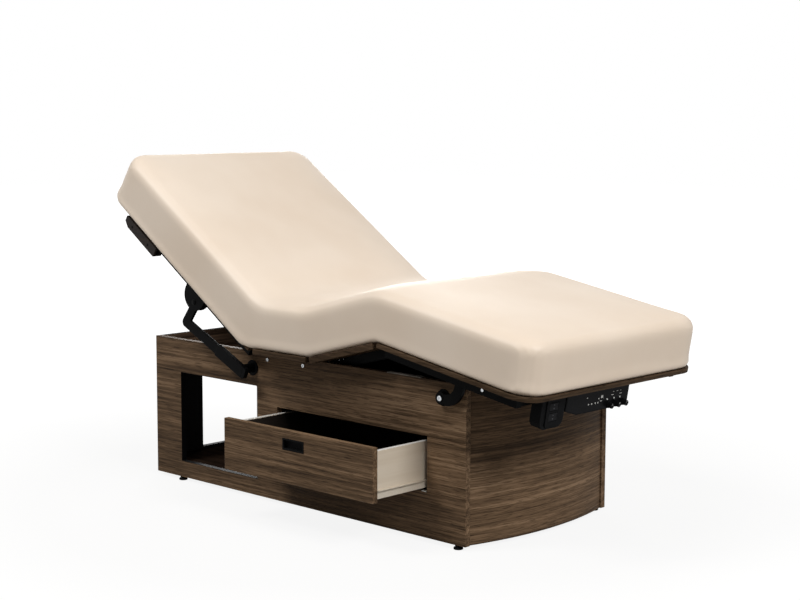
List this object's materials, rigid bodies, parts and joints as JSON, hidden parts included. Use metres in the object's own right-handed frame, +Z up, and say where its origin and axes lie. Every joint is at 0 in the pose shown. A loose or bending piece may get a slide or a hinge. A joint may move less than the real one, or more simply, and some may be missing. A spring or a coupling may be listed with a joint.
{
  "type": "spa bed with cabinet base",
  "caption": "Padded spa bed with motorised back and leg sections on a walnut-veneered cabinet with a drawer and a leg-room bay.",
  "frame": {"origin": "on the floor under the middle of the cabinet", "axes": "+Z up, +X towards the foot end of the bed, -Y towards the side with the drawer"},
  "size_m": [1.7321, 0.8912, 1.0186],
  "materials": {
    "walnut_veneer": "satin",
    "dark_board": "matte",
    "deck_board": "matte",
    "cream_board": "satin",
    "upholstery": "satin",
    "black_steel": "satin",
    "bright_steel": "brushed",
    "cream_steel": "satin",
    "black_plastic": "matte",
    "white_nylon": "satin",
    "pale_rubber": "matte",
    "lamp_lens": "gloss"
  },
  "bodies": {
    "cabinet": {"near_side_panel": "walnut_veneer", "far_side_panel": "walnut_veneer", "head_panel": "walnut_veneer", "foot_panel": "walnut_veneer", "floor_panel": "dark_board", "top_shelf": "walnut_veneer", "shelf_edge_strip": "black_plastic", "partition_panel": "dark_board", "drawer_divider": "dark_board", "machine_deck": "dark_board", "levelling_glides": "black_plastic", "shaft_bushes": "black_plastic", "seat_frame": "black_steel", "frame_bolts": "bright_steel", "seat_deck": "deck_board", "seat_cushion": "upholstery", "hinge_pins": "bright_steel", "leg_rest_strips": "pale_rubber", "mains_inlet": "black_plastic", "back_actuator": "black_plastic", "leg_actuator": "black_plastic", "actuator_saddles": "black_steel", "slide_cabinet_rails": "bright_steel"},
    "back_section": {"back_deck": "deck_board", "back_frame": "black_steel", "back_cushion": "upholstery", "back_brackets": "black_steel", "bracket_pins": "black_steel", "cradle_receiver": "dark_board"},
    "arm_carrier": {"back_arm_shaft": "black_steel", "arm_sleeves": "black_steel"},
    "arm_bars": {"bent_arms": "black_steel"},
    "back_drive": {"back_rod": "bright_steel"},
    "thigh_section": {"thigh_deck": "deck_board", "thigh_frame": "black_steel", "thigh_cushion": "upholstery"},
    "leg_section": {"leg_deck": "deck_board", "leg_frame": "black_steel", "leg_cushion": "upholstery", "leg_pins": "bright_steel", "control_box": "black_plastic", "indicator_lights": "lamp_lens", "handset_holster": "black_plastic"},
    "leg_arm_set": {"leg_arm_shaft": "black_steel", "leg_arms": "black_steel", "leg_arm_bolts": "bright_steel"},
    "leg_drive": {"leg_rod": "bright_steel"},
    "knob_a": {"control_knob_1": "black_plastic"},
    "knob_b": {"control_knob_2": "black_plastic"},
    "knob_c": {"control_knob_3": "black_plastic"},
    "hand_control": {"handset": "black_plastic"},
    "back_switch": {"back_rocker": "black_plastic"},
    "leg_switch": {"leg_rocker": "black_plastic"},
    "drawer": {"drawer_front": "walnut_veneer", "drawer_pull": "black_plastic", "drawer_walls": "cream_board", "drawer_bottom": "dark_board", "slide_drawer_rails": "cream_steel"},
    "mouth_rollers": {"slide_front_rollers": "white_nylon"},
    "tail_rollers": {"slide_rear_rollers": "white_nylon"}
  },
  "joints": [
    {"name": "back_tilt", "type": "hinge", "parent": "cabinet", "child": "back_section", "pos_m": [-0.133, 0, 0.458], "axis": [0, 1, 0], "range_deg": [-34, 26]},
    {"name": "arm_swing", "type": "hinge", "parent": "cabinet", "child": "arm_carrier", "pos_m": [-0.19, 0, 0.3955], "axis": [0, 1, 0], "range_deg": [-38, 29.1]},
    {"name": "arm_slide", "type": "slide", "parent": "arm_carrier", "child": "arm_bars", "axis": [-0.9021, 0, 0.4315], "range_m": [-0.0503, 0.0385]},
    {"name": "back_rod_slide", "type": "slide", "parent": "cabinet", "child": "back_drive", "axis": [-1, 0, 0], "range_m": [-0.0363, 0.0278]},
    {"name": "thigh_lift", "type": "hinge", "parent": "cabinet", "child": "thigh_section", "pos_m": [0.118, 0, 0.458], "axis": [0, -1, 0], "range_deg": [-15.1, 0]},
    {"name": "knee_fold", "type": "hinge", "parent": "thigh_section", "child": "leg_section", "pos_m": [0.38061, 0, 0.52886], "axis": [0, -1, 0], "range_deg": [0, 24.95]},
    {"name": "leg_arm_swing", "type": "hinge", "parent": "cabinet", "child": "leg_arm_set", "pos_m": [0.572, 0, 0.403], "axis": [0, -1, 0], "range_deg": [-20.9, 0]},
    {"name": "leg_rod_slide", "type": "slide", "parent": "cabinet", "child": "leg_drive", "axis": [1, 0, 0], "range_m": [-0.0186, 0]},
    {"name": "drawer_slide", "type": "slide", "parent": "cabinet", "child": "drawer", "axis": [0, -1, 0], "range_m": [-0.204, 0.136]},
    {"name": "mouth_roller_spin", "type": "hinge", "parent": "cabinet", "child": "mouth_rollers", "pos_m": [0.2135, -0.2767, 0.1598], "axis": [1, 0, 0], "range_deg": [-1300, 868]},
    {"name": "tail_roller_spin", "type": "hinge", "parent": "drawer", "child": "tail_rollers", "pos_m": [0.2135, -0.071, 0.1598], "axis": [1, 0, 0], "range_deg": [-1300, 868]},
    {"name": "knob_a_turn", "type": "hinge", "parent": "leg_section", "child": "knob_a", "pos_m": [0.87492, 0.008, 0.38259], "axis": [0.9854, 0, -0.1702], "range_deg": [-135, 135]},
    {"name": "knob_b_turn", "type": "hinge", "parent": "leg_section", "child": "knob_b", "pos_m": [0.87492, 0.04, 0.38259], "axis": [0.9854, 0, -0.1702], "range_deg": [-135, 135]},
    {"name": "knob_c_turn", "type": "hinge", "parent": "leg_section", "child": "knob_c", "pos_m": [0.87492, 0.072, 0.38259], "axis": [0.9854, 0, -0.1702], "range_deg": [-135, 135]},
    {"name": "handset_slide", "type": "slide", "parent": "leg_section", "child": "hand_control", "axis": [0.9854, 0, -0.1702], "range_m": [0, 0.08]},
    {"name": "back_switch_rock", "type": "hinge", "parent": "hand_control", "child": "back_switch", "pos_m": [0.87984, -0.2305, 0.40985], "axis": [0, 1, 0], "range_deg": [-8, 8], "stiffness_Nm_per_rad": 0.2},
    {"name": "leg_switch_rock", "type": "hinge", "parent": "hand_control", "child": "leg_switch", "pos_m": [0.87507, -0.2305, 0.38226], "axis": [0, 1, 0], "range_deg": [-8, 8], "stiffness_Nm_per_rad": 0.2}
  ],
  "couplings": [
    {"joint": "arm_swing", "follows": "back_tilt", "ratio": 1.117},
    {"joint": "arm_slide", "follows": "back_tilt", "m_per_rad": 0.0847},
    {"joint": "back_rod_slide", "follows": "back_tilt", "m_per_rad": 0.0611},
    {"joint": "knee_fold", "follows": "thigh_lift", "ratio": -1.649},
    {"joint": "leg_arm_swing", "follows": "thigh_lift", "ratio": 1.3772},
    {"joint": "leg_rod_slide", "follows": "thigh_lift", "m_per_rad": 0.0695},
    {"joint": "mouth_roller_spin", "follows": "drawer_slide", "rad_per_m": 111.11},
    {"joint": "tail_roller_spin", "follows": "drawer_slide", "rad_per_m": 111.11}
  ]
}
